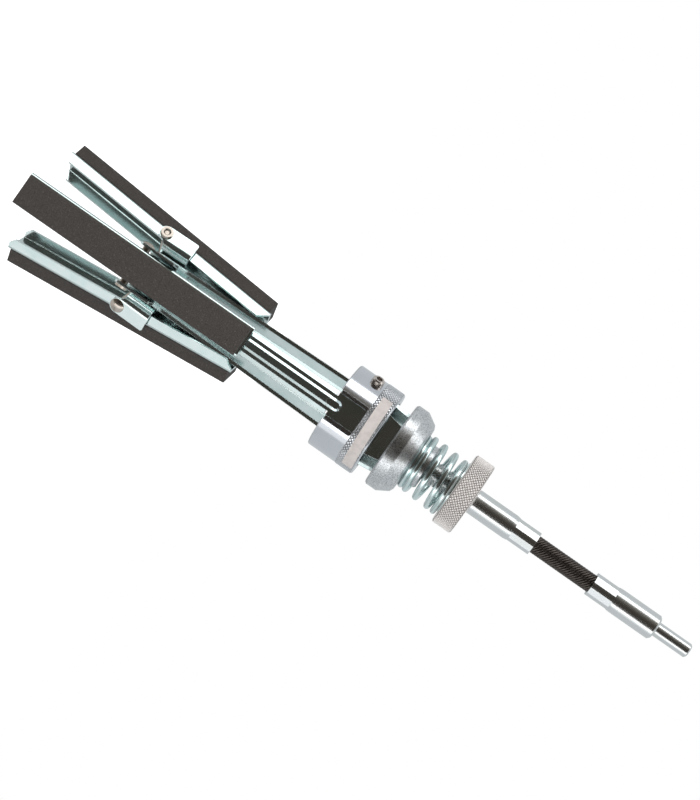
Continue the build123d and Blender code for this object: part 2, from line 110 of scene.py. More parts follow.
# Where the finer pieces start, end and bend
NUT_SEAT_GAP = 0.02 * MM  # keeps the nut's face off the washer's
NUT_BORE_GAP = 0.07 * MM
NUT_CHAMFER = 0.3 * MM
HIDDEN_THREAD = 4.0 * MM  # how far the thread runs on inside the cup
HIDDEN_STRAND = 2.0 * MM  # how far the strands run on inside each ferrule
BEND_REACH = 5.0 * MM  # the flexible shaft's bend on each side of its pivot
BAND_FRONT = 13.0 * MM  # from the carrier's front face to its knurled band
BAND_REAR = 0.5 * MM  # from the band to the carrier's rear face
BAND_DEPTH = 0.3 * MM  # how deep the band's ring reaches into the carrier
PLATE_FRONT = 5.2 * MM  # from the plate's front edge to the carrier's rear face
PLATE_GAP = 0.015 * MM  # from the band's crests to the plate
PLATE_START = math.radians(-27.0)
PLATE_SWEEP = math.radians(108.0)  # the spin turns clockwise
PLATE_CUTS = 60
SKIN_GAP = 0.01 * MM  # keeps one skin just outside another
CLOSE = 0.001 * MM  # points nearer than this are one point


# Settings in the sidebar

def count_setting(name, description, default, least):
    """A whole number that can be changed in the sidebar."""
    return bpy.props.IntProperty(name=name, description=description, default=default, min=least)


def length_setting(name, description, default):
    """A length in metres that can be changed in the sidebar."""
    return bpy.props.FloatProperty(name=name, description=description, default=default, unit="LENGTH")


def angle_setting(name, description, degrees):
    """An angle that can be changed in the sidebar."""
    angle = math.radians(degrees)
    return bpy.props.FloatProperty(name=name, description=description, default=angle, unit="ROTATION")


def pixel_setting(name, description, default):
    """A length in pixels of the picture that can be changed in the sidebar."""
    return bpy.props.FloatProperty(name=name, description=description, default=default, subtype="PIXEL")


def colour_setting(name, description, default):
    """A colour that can be changed in the sidebar."""
    return bpy.props.FloatVectorProperty(
        name=name, description=description, default=default, subtype="COLOR", size=3, min=0.0, max=1.0
    )


class HoneSizes(bpy.types.PropertyGroup):
    """Sizes of the detail that the modelled pieces carry."""

    nut_teeth: count_setting("Nut teeth", "Knurl diamonds round the nut", 72, 20)
    nut_rows: count_setting("Nut rows", "Knurl diamonds along the nut", 6, 2)
    nut_slope: length_setting("Nut slope", "Width of the slope round a diamond on the nut", 0.30 * MM)
    knurl_depth: length_setting("Knurl depth", "Height of a diamond on the nut", 0.36 * MM)
    band_teeth: count_setting("Band teeth", "Knurl diamonds round the carrier", 76, 20)
    band_rows: count_setting("Band rows", "Knurl diamonds along the carrier's band", 5, 2)
    band_slope: length_setting("Band slope", "Width of the slope round a diamond on the band", 0.2 * MM)
    band_proud: length_setting("Band height", "How far the carrier's knurl stands out", 0.16 * MM)
    thread_pitch: length_setting("Thread pitch", "Pitch of the spindle's thread", 1.25 * MM)
    thread_depth: length_setting("Thread depth", "Depth of the spindle's thread", 0.68 * MM)
    coil_nest: length_setting("Coil nest", "How much smaller the spring starts at the cup", 1.2 * MM)
    coil_lean: length_setting("Coil lean", "How far the middle coils lean", 0.58 * MM)
    coil_sag: length_setting("Coil sag", "How far the coils hang off centre at the nut", 1.0 * MM)
    strand_diameter: length_setting("Strand", "Diameter of one strand of the flexible shaft", 1.05 * MM)
    strand_lead: length_setting("Strand lead", "Length of one turn of a strand", 13.0 * MM)
    strand_count: count_setting("Strands", "Strands side by side round the flexible shaft", 11, 4)
    plate_width: length_setting("Plate width", "Width of the bare plate on the carrier", 4.5 * MM)
    plate_skew: length_setting("Plate skew", "How far the plate's far end lies along the axis", 1.0 * MM)
    plate_thickness: length_setting("Plate thickness", "Thickness of the bare plate", 0.06 * MM)


class HoneColours(bpy.types.PropertyGroup):
    """Base colours of the finishes."""

    zinc: colour_setting("Zinc sheet", "Plated sheet of the arms and holders", (0.82, 0.92, 0.91))
    zinc_tint: colour_setting("Zinc tint", "Greenish patches in the plating", (0.64, 0.80, 0.79))
    steel: colour_setting("Bright steel", "Turned and plated drive pieces", (0.77, 0.79, 0.79))
    carrier: colour_setting("Carrier", "Satin plating of the carrier", (0.70, 0.72, 0.75))
    cup: colour_setting("Cup", "Blasted casting of the cup", (0.83, 0.85, 0.86))
    nut: colour_setting("Nut", "Nickel plating of the nut", (0.93, 0.89, 0.87))
    spring: colour_setting("Spring", "Plated spring wire", (0.74, 0.84, 0.84))
    strand: colour_setting("Flexible shaft", "Black strands", (0.115, 0.098, 0.088))
    rivet: colour_setting("Rivet", "Nickel of the rivets", (0.60, 0.54, 0.48))
    screw: colour_setting("Set screw", "Steel of the set screw", (0.66, 0.60, 0.56))
    stone: colour_setting("Stone", "Bonded abrasive", (0.053, 0.046, 0.042))
    plate: colour_setting("Plate", "Bare plate on the carrier", (0.68, 0.63, 0.61))


class HoneStudio(bpy.types.PropertyGroup):
    """The camera and the floor."""

    image_height: pixel_setting("Image height", "Height of the picture", 800.0)
    focal_pixels: pixel_setting("Focal length", "Focal length of the camera", 1648.0)
    distance: length_setting("Distance", "From the camera to the tool's middle", 643.5 * MM)
    middle: length_setting("Middle", "Height on the tool's axis that the camera faces", -146.9 * MM)
    offset: length_setting("Offset", "How far the axis lies beside the line of sight", 4.7 * MM)
    lean: angle_setting("Lean", "How far the shank leans towards the camera", 3.773)
    turn: angle_setting("Turn", "How far the first arm is turned from the camera", 0.907)
    roll: angle_setting("Roll", "Slope of the tool's axis in the picture", 34.95)
    floor_drop: length_setting("Floor drop", "How far the floor lies under the tool", 0.60)


def sizes():
    return bpy.context.scene.hone_sizes


def colours():
    return bpy.context.scene.hone_colours


# Shader node groups

def new_group(name, inputs, outputs):
    """An empty shader group with its sockets, and its input and output nodes."""
    group = bpy.data.node_groups.new(name, "ShaderNodeTree")
    for label, kind, value in inputs:
        socket = group.interface.new_socket(label, in_out="INPUT", socket_type="NodeSocket" + kind)
        if value is not None:
            socket.default_value = value
    for label, kind in outputs:
        group.interface.new_socket(label, in_out="OUTPUT", socket_type="NodeSocket" + kind)
    return group, group.nodes.new("NodeGroupInput"), group.nodes.new("NodeGroupOutput")


def add(tree, kind, **settings):
    """Adds a node; settings that are socket names with underscores fill its sockets."""
    node = tree.nodes.new("ShaderNode" + kind)
    for key, value in settings.items():
        if hasattr(node, key):
            setattr(node, key, value)
        else:
            node.inputs[key.replace("_", " ")].default_value = value
    return node


def wire(tree, *pairs):
    """Links pairs of (output, input) sockets."""
    for output, socket in pairs:
        tree.links.new(output, socket)


def mixed(tree, share, first, second, blend_type="MIX"):
    """Mixes two colours, each a socket or a fixed colour, and gives the result's socket."""
    node = add(tree, "Mix", data_type="RGBA", blend_type=blend_type)
    colour_sockets = (node.inputs[0], node.inputs[6], node.inputs[7])  # the rest are for other kinds of data
    for socket, value in zip(colour_sockets, (share, first, second)):
        if isinstance(value, bpy.types.NodeSocket):
            wire(tree, (value, socket))
        else:
            socket.default_value = value
    return node.outputs[2]


def ramp(tree, start, end, low=0.0, high=1.0, smooth=True):
    """A node that turns a value between start and end into one between low and high, eased if smooth."""
    node = add(tree, "MapRange", interpolation_type="SMOOTHSTEP" if smooth else "LINEAR")
    for label, value in (("From Min", start), ("From Max", end), ("To Min", low), ("To Max", high)):
        node.inputs[label].default_value = value
    return node


def grain_group():
    """Fine and coarse grain mixed, for roughness, colour and height."""
    group, ins, outs = new_group(
        "Grain",
        [("Vector", "Vector", None), ("Scale", "Float", 4000.0), ("Coarse", "Float", 0.3)],
        [("Value", "Float")],
    )
    fine = add(group, "TexNoise", Detail=3.0, Roughness=0.6)
    share = add(group, "Math", operation="MULTIPLY")
    share.inputs[1].default_value = 0.12
    coarse = add(group, "TexNoise", Detail=2.0, Roughness=0.5)
    mix = add(group, "Mix", data_type="FLOAT")
    wire(
        group,
        (ins.outputs["Vector"], fine.inputs["Vector"]),
        (ins.outputs["Scale"], fine.inputs["Scale"]),
        (ins.outputs["Scale"], share.inputs[0]),
        (ins.outputs["Vector"], coarse.inputs["Vector"]),
        (share.outputs[0], coarse.inputs["Scale"]),
        (ins.outputs["Coarse"], mix.inputs[0]),
        (fine.outputs[0], mix.inputs[2]),
        (coarse.outputs[0], mix.inputs[3]),
        (mix.outputs[0], outs.inputs["Value"]),
    )
    return group


def streak_group():
    """Fine lines left by a tool. They lie close together along the axis with the largest spacing value."""
    group, ins, outs = new_group(
        "Streaks",
        [("Vector", "Vector", None), ("Spacing", "Vector", (30.0, 30.0, 9000.0))],
        [("Value", "Float")],
    )
    spread = add(group, "VectorMath", operation="MULTIPLY")
    lines = add(group, "TexNoise", Scale=1.0, Detail=4.0, Roughness=0.7)
    wire(
        group,
        (ins.outputs["Vector"], spread.inputs[0]),
        (ins.outputs["Spacing"], spread.inputs[1]),
        (spread.outputs[0], lines.inputs["Vector"]),
        (lines.outputs[0], outs.inputs["Value"]),
    )
    return group


def tint_group():
    """Plating whose colour drifts between two tones in soft patches."""
    group, ins, outs = new_group(
        "Plating Tint",
        [
            ("Vector", "Vector", None),
            ("Colour", "Color", (0.8, 0.8, 0.8, 1.0)),
            ("Tint", "Color", (0.6, 0.7, 0.7, 1.0)),
            ("Patches", "Float", 120.0),
            ("Amount", "Float", 0.5),
        ],
        [("Colour", "Color")],
    )
    patch = add(group, "TexNoise", Detail=3.0, Roughness=0.55)
    spread = ramp(group, 0.38, 0.68)
    share = add(group, "Math", operation="MULTIPLY")
    tinted = mixed(group, share.outputs[0], ins.outputs["Colour"], ins.outputs["Tint"])
    wire(
        group,
        (ins.outputs["Vector"], patch.inputs["Vector"]),
        (ins.outputs["Patches"], patch.inputs["Scale"]),
        (patch.outputs[0], spread.inputs["Value"]),
        (spread.outputs[0], share.inputs[0]),
        (ins.outputs["Amount"], share.inputs[1]),
        (tinted, outs.inputs["Colour"]),
    )
    return group


def edge_group():
    """Softly rounded edges: a mask that is high on them, and the rounded normal."""
    group, ins, outs = new_group(
        "Worn Edge",
        [("Radius", "Float", 0.0002), ("Gain", "Float", 3.0)],
        [("Mask", "Float"), ("Normal", "Vector")],
    )
    soft = add(group, "Bevel", samples=4)
    plain = add(group, "NewGeometry")
    meet = add(group, "VectorMath", operation="DOT_PRODUCT")
    flip = add(group, "Math", operation="SUBTRACT")
    flip.inputs[0].default_value = 1.0
    gain = add(group, "Math", operation="MULTIPLY", use_clamp=True)
    wire(
        group,
        (ins.outputs["Radius"], soft.inputs["Radius"]),
        (soft.outputs[0], meet.inputs[0]),
        (plain.outputs["Normal"], meet.inputs[1]),
        (meet.outputs["Value"], flip.inputs[1]),
        (flip.outputs[0], gain.inputs[0]),
        (ins.outputs["Gain"], gain.inputs[1]),
        (gain.outputs[0], outs.inputs["Mask"]),
        (soft.outputs[0], outs.inputs["Normal"]),
    )
    return group


def valley_shade_group():
    """Painted shade in a knurl's valleys: a share that is lowest at the radius of their root and 1 at the
    crests.
    """
    group, ins, outs = new_group(
        "Valley Shade",
        [("Vector", "Vector", None), ("Root", "Float", 0.015), ("Reach", "Float", 0.0002)],
        [("Share", "Float")],
    )
    level = add(group, "VectorMath", operation="MULTIPLY")
    level.inputs[1].default_value = (1, 1, 0)
    radius = add(group, "VectorMath", operation="LENGTH")
    above = add(group, "Math", operation="SUBTRACT")
    away = add(group, "Math", operation="ABSOLUTE")
    depth = ramp(group, 0.0, 1.0, low=0.05, smooth=False)
    wire(
        group,
        (ins.outputs["Vector"], level.inputs[0]),
        (level.outputs[0], radius.inputs[0]),
        (radius.outputs["Value"], above.inputs[0]),
        (ins.outputs["Root"], above.inputs[1]),
        (above.outputs[0], away.inputs[0]),
        (away.outputs[0], depth.inputs["Value"]),
        (ins.outputs["Reach"], depth.inputs["From Max"]),
        (depth.outputs[0], outs.inputs["Share"]),
    )
    return group


GROUP_MAKERS = {
    "Grain": grain_group,
    "Streaks": streak_group,
    "Plating Tint": tint_group,
    "Worn Edge": edge_group,
    "Valley Shade": valley_shade_group,
}


def place_group(tree, name, place=None, **values):
    """Puts a shared group in a material, on the coordinates that it reads and with its own values."""
    node = tree.nodes.new("ShaderNodeGroup")
    node.node_tree = bpy.data.node_groups.get(name) or GROUP_MAKERS[name]()
    for key, value in values.items():
        node.inputs[key].default_value = value
    if place:
        wire(tree, (place, node.inputs["Vector"]))
    return node


def rgba(colour):
    return (*colour, 1.0)


# Materials

def new_material(name):
    """A material with its Principled shader, and Object coordinates."""
    material = bpy.data.materials.new(name)
    material.use_nodes = True
    tree = material.node_tree
    shader = tree.nodes["Principled BSDF"]
    place = add(tree, "TexCoord")
    return material, tree, shader, place.outputs["Object"]


def map_to(tree, value, low, high):
    """Spreads a 0 to 1 value between two ends."""
    node = ramp(tree, 0.0, 1.0, low, high, smooth=False)
    wire(tree, (value, node.inputs["Value"]))
    return node.outputs[0]


def two_tones(tree, value, *stops):
    """Colours a value by a ramp between two (position, colour) stops."""
    node = add(tree, "ValToRGB")
    for element, (position, colour) in zip(node.color_ramp.elements, stops):
        element.position = position
        element.color = rgba(colour)
    wire(tree, (value, node.inputs[0]))
    return node.outputs[0]


def scaled(colour, factor):
    """A colour made lighter or darker."""
    return [min(1.0, factor * c) for c in colour]


def bump_chain(tree, shader, normal, *heights):
    """Stacks (height, distance in metres) bumps on a normal and feeds the shader."""
    for height, distance in heights:
        bump = add(tree, "Bump", Strength=1.0, Distance=distance)
        wire(tree, (height, bump.inputs["Height"]))
        if normal is not None:
            wire(tree, (normal, bump.inputs["Normal"]))
        normal = bump.outputs[0]
    wire(tree, (normal, shader.inputs["Normal"]))


def plated(name, colour, tint, smooth, rough, streaks, edge=0.15, dent=0.002, metallic=1.0, valley=None):
    """A plated metal: drifting tone, tool marks with the given spacing, and bright worn edges.

    The roughness runs from smooth to rough. The edge's radius and the marks' dent are in millimetres. A
    valley is the radius of a knurl's root, and how far from it the painted shade fades out."""
    material, tree, shader, place = new_material(name)
    shader.inputs["Metallic"].default_value = metallic
    tone = place_group(
        tree, "Plating Tint", place, Colour=rgba(colour), Tint=rgba(tint), Patches=140.0, Amount=0.5
    )
    marks = place_group(tree, "Streaks", place, Spacing=streaks)
    pits = place_group(tree, "Grain", place, Scale=6000.0, Coarse=0.35)
    worn = place_group(tree, "Worn Edge", Radius=edge * MM, Gain=2.5)
    paint = mixed(tree, worn.outputs["Mask"], tone.outputs["Colour"], rgba(scaled(colour, 1.18)))
    # Painted shade: the colour darkens towards the radius of the knurl's root.
    if valley:
        root, reach = valley
        painted_shade = place_group(tree, "Valley Shade", place, Root=root, Reach=reach)
        paint = mixed(tree, 1.0, paint, painted_shade.outputs["Share"], blend_type="MULTIPLY")
    wire(
        tree,
        (paint, shader.inputs["Base Color"]),
        (map_to(tree, marks.outputs["Value"], smooth, rough), shader.inputs["Roughness"]),
    )
    bump_chain(
        tree, shader, worn.outputs["Normal"],
        (marks.outputs["Value"], dent * MM), (pits.outputs["Value"], dent * MM),
    )
    return material


# How the tool marks run, as the Streaks group's spacing
TURNED = (20.0, 20.0, 9000.0)  # rings round the axis
ROLLED = (7000.0, 7000.0, 25.0)  # lines along the axis
DRAWN = (900.0, 900.0, 900.0)
TUMBLED = (700.0, 700.0, 700.0)


def zinc_plating():
    """The bluish zinc of the pressed sheet pieces."""
    tones = colours()
    return plated(
        "zinc_plating", tones.zinc, tones.zinc_tint, 0.10, 0.20, ROLLED, edge=0.28, dent=0.0003
    )


def turned_plating():
    """The bright plating of the turned pieces."""
    return plated(
        "turned_plating", colours().steel, (0.76, 0.76, 0.74), 0.16, 0.30, TURNED, edge=0.2, dent=0.0002
    )


def carrier_steel():
    """The carrier's smooth plating."""
    return plated(
        "carrier_steel", colours().carrier, (0.64, 0.66, 0.70), 0.08, 0.20, TURNED, edge=0.22, dent=0.0006
    )


def wire_plating():
    """The spring wire's plating."""
    tones = colours()
    return plated("wire_plating", tones.spring, tones.zinc_tint, 0.14, 0.26, DRAWN, dent=0.001)


def nut_plating():
    """The nut's satin nickel, with painted shade in the knurl's valleys."""
    depth = sizes().knurl_depth
    return plated(
        "nut_plating", colours().nut, (0.88, 0.84, 0.82), 0.34, 0.50, TURNED, edge=0.08, dent=0.001,
        metallic=0.25, valley=(radius_of("adjusting_nut") - depth, 0.5 * depth),
    )


def band_plating():
    """The carrier's plating on its band, with painted shade in the knurl's valleys."""
    return plated(
        "band_plating", colours().carrier, (0.70, 0.72, 0.75), 0.14, 0.28, TURNED, edge=0.08, dent=0.0006,
        metallic=0.85, valley=(radius_of("arm_carrier") + SKIN_GAP, 0.6 * sizes().band_proud),
    )


def rivet_metal():
    """The warm nickel of the rivets."""
    return plated("rivet_metal", colours().rivet, (0.44, 0.38, 0.32), 0.16, 0.32, TUMBLED)


def screw_metal():
    """The set screw's brownish steel."""
    return plated("screw_metal", colours().screw, (0.36, 0.31, 0.28), 0.18, 0.34, TUMBLED, dent=0.004)


def cup_casting():
    """A blasted and plated casting: coarse speckle and a soft reflection."""
    material, tree, shader, place = new_material("cup_casting")
    shader.inputs["Metallic"].default_value = 1.0
    tone = place_group(
        tree, "Plating Tint", place, Colour=rgba(colours().cup), Tint=rgba((0.70, 0.73, 0.76)),
        Patches=260.0, Amount=0.6,
    )
    speckle = place_group(tree, "Grain", place, Scale=2700.0, Coarse=0.0)
    skin = place_group(tree, "Grain", place, Scale=1900.0, Coarse=0.4)
    worn = place_group(tree, "Worn Edge", Radius=0.3 * MM, Gain=2.0)
    spots = two_tones(tree, speckle.outputs["Value"], (0.36, (0.42, 0.41, 0.40)), (0.56, (1.0, 1.0, 1.0)))
    paint = mixed(tree, 1.0, tone.outputs["Colour"], spots, blend_type="MULTIPLY")
    wire(
        tree,
        (paint, shader.inputs["Base Color"]),
        (map_to(tree, skin.outputs["Value"], 0.22, 0.40), shader.inputs["Roughness"]),
    )
    bump_chain(
        tree, shader, worn.outputs["Normal"],
        (speckle.outputs["Value"], 0.012 * MM), (skin.outputs["Value"], 0.02 * MM),
    )
    return material


def stone_grit():
    """Bonded abrasive: sharp grains, a few of them bright, open pores and paler worn edges."""
    stone = colours().stone
    material, tree, shader, place = new_material("stone_grit")
    grains = add(tree, "TexVoronoi", Scale=3000.0)
    glints = ramp(tree, 0.80, 0.98, high=0.55, smooth=False)
    pores = place_group(tree, "Grain", place, Scale=3600.0, Coarse=0.0)
    worn = place_group(tree, "Worn Edge", Radius=0.3 * MM, Gain=2.0)
    body = two_tones(tree, pores.outputs["Value"], (0.35, scaled(stone, 0.55)), (0.65, scaled(stone, 1.45)))
    glinting = mixed(tree, glints.outputs[0], body, rgba(scaled(stone, 3.0)))
    paint = mixed(tree, worn.outputs["Mask"], glinting, rgba(scaled(stone, 1.7)))
    wire(
        tree,
        (place, grains.inputs["Vector"]),
        (grains.outputs["Color"], glints.inputs["Value"]),
        (paint, shader.inputs["Base Color"]),
        (map_to(tree, pores.outputs["Value"], 0.62, 0.90), shader.inputs["Roughness"]),
    )
    bump_chain(
        tree, shader, worn.outputs["Normal"],
        (grains.outputs["Distance"], 0.03 * MM), (pores.outputs["Value"], 0.04 * MM),
    )
    return material


def strand_black():
    """Blackened wire with an oily sheen and a drifting tone."""
    material, tree, shader, place = new_material("strand_black")
    shader.inputs["Metallic"].default_value = 0.95
    film = place_group(tree, "Grain", place, Scale=1800.0, Coarse=0.5)
    tone = place_group(
        tree, "Plating Tint", place, Colour=rgba(colours().strand), Tint=rgba((0.060, 0.050, 0.045)),
        Patches=900.0, Amount=0.8,
    )
    wire(
        tree,
        (tone.outputs["Colour"], shader.inputs["Base Color"]),
        (map_to(tree, film.outputs["Value"], 0.24, 0.42), shader.inputs["Roughness"]),
    )
    bump_chain(tree, shader, None, (film.outputs["Value"], 0.004 * MM))
    return material


def plate_stock():
    """The bare plate: matt pale stock with a soft fibre and a drifting tone."""
    material, tree, shader, place = new_material("plate_stock")
    fibre = place_group(tree, "Grain", place, Scale=2600.0, Coarse=0.45)
    tone = place_group(
        tree, "Plating Tint", place, Colour=rgba(colours().plate), Tint=rgba((0.54, 0.50, 0.49)),
        Patches=420.0, Amount=0.6,
    )
    wire(
        tree,
        (tone.outputs["Colour"], shader.inputs["Base Color"]),
        (map_to(tree, fibre.outputs["Value"], 0.45, 0.70), shader.inputs["Roughness"]),
    )
    bump_chain(tree, shader, None, (fibre.outputs["Value"], 0.006 * MM))
    return material


MATERIAL_MAKERS = {
    maker.__name__: maker
    for maker in (
        zinc_plating, turned_plating, carrier_steel, wire_plating, nut_plating, rivet_metal, screw_metal,
        cup_casting, stone_grit, strand_black, plate_stock, band_plating,
    )
}


def finish_of(name):
    """A material by its maker's name, made once."""
    return bpy.data.materials.get(name) or MATERIAL_MAKERS[name]()


def dress(node, finish):
    """Gives a carried-over node its finish."""
    obj = frame["nodes"][node]
    material = finish_of(finish)
    if not obj.material_slots:
        obj.data.materials.append(material)
    for slot in obj.material_slots:
        slot.material = material


# Modelling helpers

def place_in_mesh(obj):
    """Puts a piece's place into its mesh, so that its object sits at the origin."""
    obj.data.transform(obj.matrix_world)
    obj.matrix_world = Matrix.Identity(4)
    return obj


def settle(obj, name, finish):
    """Names a new piece, gives it its finish and puts its place into its mesh."""
    obj.name = name
    obj.data.name = name
    place_in_mesh(obj)
    obj.data.materials.clear()
    obj.data.materials.append(finish_of(finish))
    return obj


def nothing_selected():
    for obj in list(bpy.context.selected_objects):
        obj.select_set(False)


def only(obj):
    """Makes a piece the one that is selected and active."""
    nothing_selected()
    obj.select_set(True)
    bpy.context.view_layer.objects.active = obj


def edit(obj):
    """Opens a piece in edit mode and gives its mesh."""
    only(obj)
    bpy.ops.object.mode_set(mode="EDIT")
    return bmesh.from_edit_mesh(obj.data)


def leave(obj):
    """Closes edit mode."""
    bpy.ops.object.mode_set(mode="OBJECT")
    obj.data.update()
    return obj


def pick(mesh, obj, faces=None, edges=None):
    """Selects faces or edges by a test, and nothing else."""
    bpy.ops.mesh.select_all(action="DESELECT")
    bpy.ops.mesh.select_mode(type="FACE" if faces else "EDGE")
    for element in mesh.faces if faces else mesh.edges:
        element.select_set(bool((faces or edges)(element)))
    bmesh.update_edit_mesh(obj.data)


def outward(obj):
    """Turns all faces of a closed piece outwards."""
    edit(obj)
    bpy.ops.mesh.select_all(action="SELECT")
    bpy.ops.mesh.remove_doubles(threshold=CLOSE)
    bpy.ops.mesh.normals_make_consistent(inside=False)
    return leave(obj)


def off_axis(point):
    """How far a point lies from the tool's axis."""
    return math.hypot(point.x, point.y)


def flat_edge(edge):
    """Whether an edge keeps one height."""
    return abs(edge.verts[0].co.z - edge.verts[1].co.z) < CLOSE


def upright_edge(edge):
    """Whether an edge runs along the axis."""
    a, b = (v.co for v in edge.verts)
    return off_axis(a - b) < CLOSE and abs(a.z - b.z) > SKIN_GAP


def sleeve(teeth, outer, inner, low, high, chamfer):
    """A closed ring about the axis with chamfered outer corners, and one face for each tooth outside."""
    nothing_selected()
    bpy.ops.mesh.primitive_cylinder_add(
        vertices=teeth, radius=outer, depth=high - low - 2 * chamfer, end_fill_type="NOTHING",
        location=(0, 0, (low + high) / 2),
    )
    obj = place_in_mesh(bpy.context.active_object)
    mesh = edit(obj)
    for end, side in ((low, -1), (high, 1)):
        rim = end - side * chamfer
        steps = ((outer - chamfer, side * chamfer), (inner, 0.0))
        radius = outer
        pick(mesh, obj, edges=lambda e: flat_edge(e) and abs(e.verts[0].co.z - rim) < CLOSE)
        for target, rise in steps:
            bpy.ops.mesh.extrude_edges_move(TRANSFORM_OT_translate={"value": (0, 0, rise)})
            share = target / radius
            bpy.ops.transform.resize(value=(share, share, 1), center_override=(0, 0, end))
            radius = target
    pick(mesh, obj, edges=lambda e: flat_edge(e) and all(off_axis(v.co) < inner + CLOSE for v in e.verts))
    bpy.ops.mesh.bridge_edge_loops()
    return leave(obj)


def knurl(obj, outer, low, high, rows, depth, land):
    """Raises a diamond knurl on the outer skin of a sleeve between two heights."""
    mesh = edit(obj)

    def on_skin(vert):
        """Whether a point is on the skin between the two heights."""
        return abs(off_axis(vert.co) - outer) < 2 * CLOSE and low - SKIN_GAP < vert.co.z < high + SKIN_GAP

    pick(mesh, obj, edges=lambda e: upright_edge(e) and all(on_skin(v) for v in e.verts))
    bpy.ops.mesh.subdivide(number_cuts=rows - 1)
    mesh = bmesh.from_edit_mesh(obj.data)
    pick(mesh, obj, faces=lambda f: len(f.verts) == 4 and all(on_skin(v) for v in f.verts))
    bpy.ops.mesh.poke()
    mesh = bmesh.from_edit_mesh(obj.data)

    def between_pokes(edge):
        """Whether both faces beside an edge come from the poke, so that they make one diamond."""
        poked = len(edge.link_faces) == 2 and all(len(f.verts) == 3 for f in edge.link_faces)
        return poked and all(on_skin(v) for v in edge.verts) and (flat_edge(edge) or upright_edge(edge))

    pick(mesh, obj, edges=between_pokes)
    bpy.ops.mesh.dissolve_edges(use_verts=False)
    mesh = bmesh.from_edit_mesh(obj.data)

    def diamond(face):
        """Whether a face is a diamond, or a half one at the knurl's end."""
        middle = face.calc_center_median()
        outside = off_axis(middle) > outer * 0.98 and off_axis(face.normal) > 0.98
        return outside and low < middle.z < high and len(face.verts) in (3, 4)

    pick(mesh, obj, faces=diamond)
    bpy.ops.mesh.inset(thickness=land, depth=depth, use_individual=True)
    return leave(obj)


def smooth_shading(obj, angle=30.0):
    """Shades a piece smooth but for edges sharper than an angle in degrees."""
    only(obj)
    bpy.ops.object.shade_smooth_by_angle(angle=math.radians(angle))


def wire_mesh(name, points, radius, detail):
    """A round wire through points, as a closed mesh. More detail makes it rounder."""
    curve = bpy.data.curves.new(name, "CURVE")
    curve.dimensions = "3D"
    curve.bevel_depth = radius
    curve.bevel_resolution = detail
    curve.use_fill_caps = True
    line = curve.splines.new("POLY")
    line.points.add(len(points) - 1)
    for place, point in zip(line.points, points):
        place.co = (*point, 1.0)
    obj = bpy.data.objects.new(name, curve)
    bpy.context.scene.collection.objects.link(obj)
    only(obj)
    bpy.ops.object.convert(target="MESH")
    return bpy.context.active_object


def joined(parts):
    """Joins pieces into the first."""
    nothing_selected()
    for part in parts:
        part.select_set(True)
    bpy.context.view_layer.objects.active = parts[0]
    bpy.ops.object.join()
    return bpy.context.active_object


# Pieces

class HONE_OT_drive_end(bpy.types.Operator):
    """Finishes the turned drive end"""

    bl_idname = "hone.drive_end"
    bl_label = "Drive end"

    def execute(self, context):
        dress("drive_end", "turned_plating")
        return {"FINISHED"}


def thread_depth_at(point, pitch):
    """How deep the thread is cut at a point, as a share of its depth."""
    turned = math.atan2(point.y, point.x) / TURN
    phase = (point.z / pitch - turned) % 1.0
    groove = max(0.0, 1.0 - abs(phase - 0.5) / 0.42)
    return min(1.0, 1.15 * groove)


def narrow(vert, share):
    """Moves a point towards the tool's axis."""
    vert.co.x *= share
    vert.co.y *= share


class HONE_OT_spindle(bpy.types.Operator):
    """Cuts the thread into the spindle"""

    bl_idname = "hone.spindle"
    bl_label = "Spindle"

    def execute(self, context):
        pitch = sizes().thread_pitch
        depth = sizes().thread_depth
        crest = THREAD_RADIUS
        shoulder = high_of("adjusting_nut") + NUT_END_GAP
        front = low_of("compression_spring") - HIDDEN_THREAD
        body = bpy.data.objects.new("spindle_body", frame["nodes"]["spindle"].data.copy())
        context.scene.collection.objects.link(body)
        for vert in body.data.vertices:
            if abs(off_axis(vert.co) - crest) < 2 * SKIN_GAP and vert.co.z < shoulder + SKIN_GAP:
                narrow(vert, (crest - depth) / crest)
        settle(body, "spindle_body", "turned_plating")

        turns = int((shoulder - front) / pitch)
        length = turns * pitch
        steps = 8  # rings of points in each turn
        nothing_selected()
        bpy.ops.mesh.primitive_cylinder_add(
            vertices=64, radius=crest, depth=length, location=(0, 0, shoulder - length / 2)
        )
        thread = place_in_mesh(context.active_object)
        mesh = edit(thread)
        pick(mesh, thread, edges=upright_edge)
        bpy.ops.mesh.subdivide(number_cuts=turns * steps - 1)
        leave(thread)
        for vert in thread.data.vertices:
            narrow(vert, (crest - depth * thread_depth_at(vert.co, pitch)) / crest)
        settle(thread, "spindle_thread", "turned_plating")
        smooth_shading(thread, 50.0)
        for piece in (body, thread):
            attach(piece, "head")
        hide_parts("spindle")
        return {"FINISHED"}


class HONE_OT_nut(bpy.types.Operator):
    """Models the knurled adjusting nut"""

    bl_idname = "hone.nut"
    bl_label = "Adjusting nut"

    def execute(self, context):
        low, high = low_of("adjusting_nut") + NUT_SEAT_GAP, high_of("adjusting_nut")
        depth = sizes().knurl_depth
        skin = radius_of("adjusting_nut") - depth
        nut = sleeve(sizes().nut_teeth, skin, THREAD_RADIUS + NUT_BORE_GAP, low, high, NUT_CHAMFER)
        knurl(nut, skin, low + NUT_CHAMFER, high - NUT_CHAMFER, sizes().nut_rows, depth, sizes().nut_slope)
        settle(nut, "knurled_nut", "nut_plating")
        outward(nut)
        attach(nut, "nut")
        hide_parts("adjusting_nut")
        return {"FINISHED"}


def ease(value):
    """A smooth step from 0 to 1."""
    value = min(1.0, max(0.0, value))
    return value * value * (3 - 2 * value)


